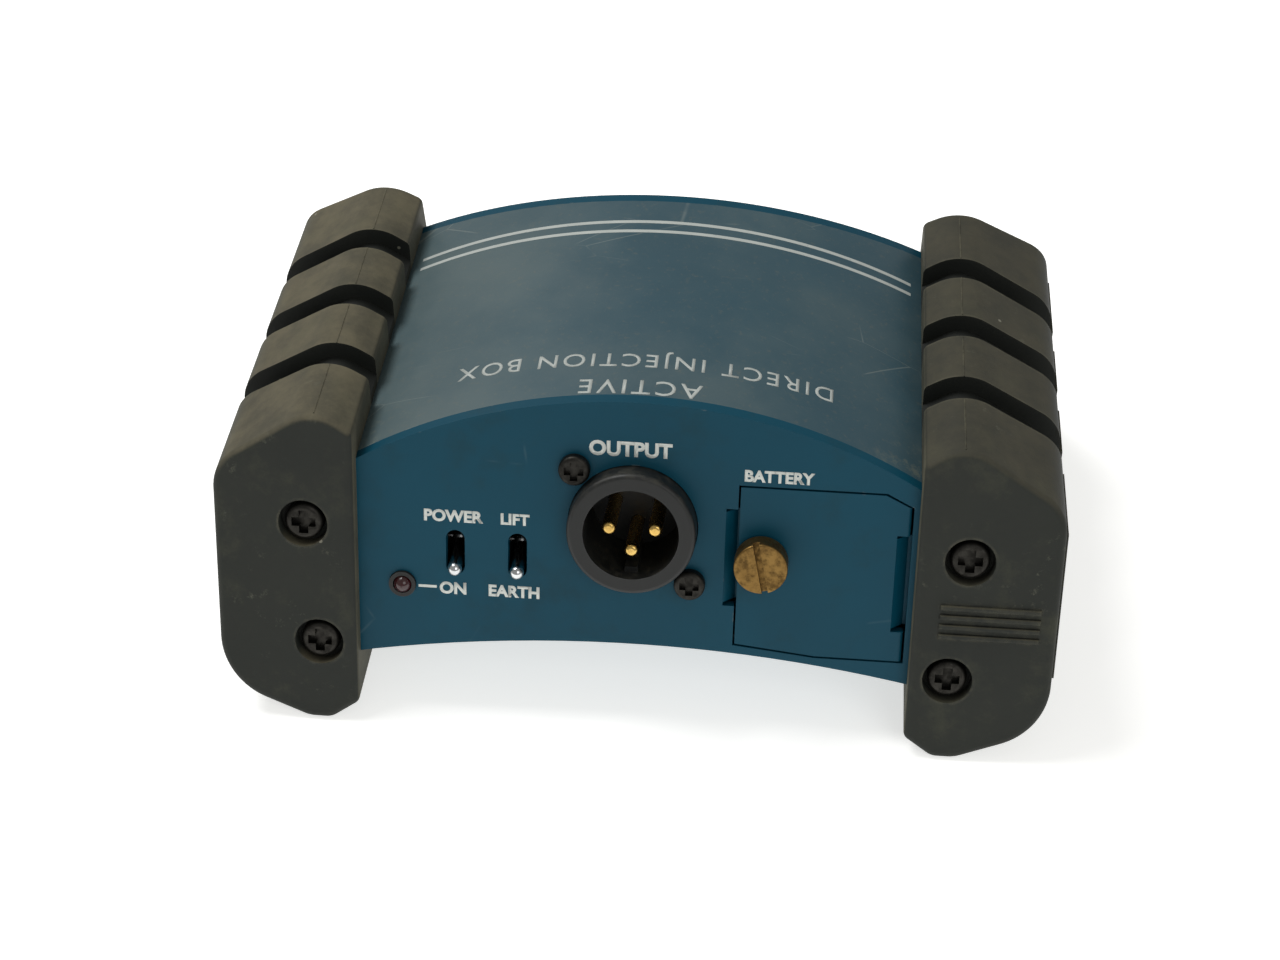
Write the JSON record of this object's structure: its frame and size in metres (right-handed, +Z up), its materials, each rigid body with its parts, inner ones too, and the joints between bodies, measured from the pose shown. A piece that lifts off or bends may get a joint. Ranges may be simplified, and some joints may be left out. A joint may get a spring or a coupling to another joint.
{
  "type": "direct injection box",
  "caption": "Stage direct injection box: arched metal case between two grooved rubber end bumpers, with XLR output, input sockets, lever switches and a battery door.",
  "frame": {"origin": "middle of the plane that the bumpers rest on", "axes": "+X to the right seen from the output side, -Y towards the output panel, +Z up"},
  "size_m": [0.1462, 0.1046, 0.059],
  "materials": {
    "case_paint": "satin blue-green paint, scuffed",
    "panel_paint": "satin blue-green paint",
    "bumper_rubber": "matt moulded rubber, dusty",
    "dark_screws": "blackened steel",
    "worn_brass": "tarnished brass",
    "zinc_steel": "zinc plated",
    "connector_black": "black moulded plastic",
    "gold_contacts": "gold plated",
    "latch_metal": "plated steel",
    "jack_nuts": "nickel plated",
    "led_red": "dark red, unlit",
    "board_green": "green solder mask",
    "core_steel": "laminated steel",
    "coil_tape": "winding tape",
    "capacitor_sleeve": "printed sleeve, left blank",
    "battery_wrap": "plain wrap",
    "lead_sleeve": "insulated wire",
    "bare_aluminium": "bent sheet",
    "foam": "open-cell foam",
    "lever_chrome": "polished chrome"
  },
  "bodies": {
    "case": {"case_shell": "case_paint", "output_panel": "panel_paint", "input_panel": "panel_paint", "bumper_left": "bumper_rubber", "bumper_right": "bumper_rubber", "bumper_screws_output": "dark_screws", "bumper_screws_input": "dark_screws", "cover_nut": "zinc_steel", "output_xlr_shell": "connector_black", "output_xlr_insert": "connector_black", "output_xlr_pins": "gold_contacts", "output_xlr_screws": "dark_screws", "output_xlr_nuts": "zinc_steel", "input_xlr_shell": "connector_black", "input_xlr_insert": "connector_black", "input_xlr_contacts": "gold_contacts", "input_xlr_screws": "dark_screws", "input_xlr_nuts": "zinc_steel", "input_jack_body": "connector_black", "input_jack_nut": "jack_nuts", "input_jack_contacts": "zinc_steel", "link_jack_body": "connector_black", "link_jack_nut": "jack_nuts", "link_jack_contacts": "zinc_steel", "led_bezel": "connector_black", "led_lens": "led_red", "circuit_board": "board_green", "board_screws": "zinc_steel", "transformer_core": "core_steel", "transformer_coil": "coil_tape", "electrolytic_capacitors": "capacitor_sleeve", "film_capacitors": "capacitor_sleeve", "amplifier_chips": "connector_black", "resistors": "coil_tape", "battery": "battery_wrap", "battery_snap": "connector_black", "battery_leads": "lead_sleeve", "battery_tray": "bare_aluminium", "battery_pad": "foam", "tray_screws": "zinc_steel", "power_switch_body": "connector_black", "earth_switch_body": "connector_black", "pad_20_switch_body": "connector_black", "pad_40_switch_body": "connector_black"},
    "battery_door": {"battery_cover": "panel_paint"},
    "thumb_washer": {"thumbscrew_washer": "zinc_steel"},
    "thumb_screw": {"thumbscrew": "worn_brass"},
    "input_latch": {"input_xlr_latch": "latch_metal"},
    "power_lever": {"power_switch_lever": "lever_chrome"},
    "earth_lever": {"earth_switch_lever": "lever_chrome"},
    "pad_20_lever": {"pad_20_switch_lever": "lever_chrome"},
    "pad_40_lever": {"pad_40_switch_lever": "lever_chrome"}
  },
  "joints": [
    {"name": "power_switch_throw", "type": "hinge", "parent": "case", "child": "power_lever", "pos_m": [-0.03098, -0.03361, 0.0288], "axis": [-1, 0, 0], "range_deg": [0, 40]},
    {"name": "earth_switch_throw", "type": "hinge", "parent": "case", "child": "earth_lever", "pos_m": [-0.02018, -0.03361, 0.0288], "axis": [-1, 0, 0], "range_deg": [0, 40]},
    {"name": "pad_20_switch_throw", "type": "hinge", "parent": "case", "child": "pad_20_lever", "pos_m": [0.03298, 0.03361, 0.0288], "axis": [1, 0, 0], "range_deg": [0, 40]},
    {"name": "pad_40_switch_throw", "type": "hinge", "parent": "case", "child": "pad_40_lever", "pos_m": [0.04328, 0.03361, 0.0288], "axis": [1, 0, 0], "range_deg": [0, 40]},
    {"name": "latch_push", "type": "slide", "parent": "case", "child": "input_latch", "axis": [0, -0.9573, -0.289], "range_m": [0, 0.0012], "stiffness_N_per_m": 600, "springref_m": -0.0006},
    {"name": "battery_door_swing", "type": "hinge", "parent": "case", "child": "battery_door", "pos_m": [0.0461, -0.03977, 0.03055], "axis": [0, 0.289, 0.9573], "range_deg": [0, 60]},
    {"name": "thumbscrew_travel", "type": "slide", "parent": "battery_door", "child": "thumb_washer", "axis": [0, -0.9573, 0.289], "range_m": [0, 0.003]},
    {"name": "thumbscrew_turn", "type": "hinge", "parent": "thumb_washer", "child": "thumb_screw", "pos_m": [0.0218, -0.04258, 0.0337], "axis": [0, -0.9573, 0.289], "range_deg": [0, 1542.86]}
  ],
  "couplings": [
    {"joint": "thumbscrew_turn", "follows": "thumbscrew_travel", "rad_per_m": 8976}
  ]
}
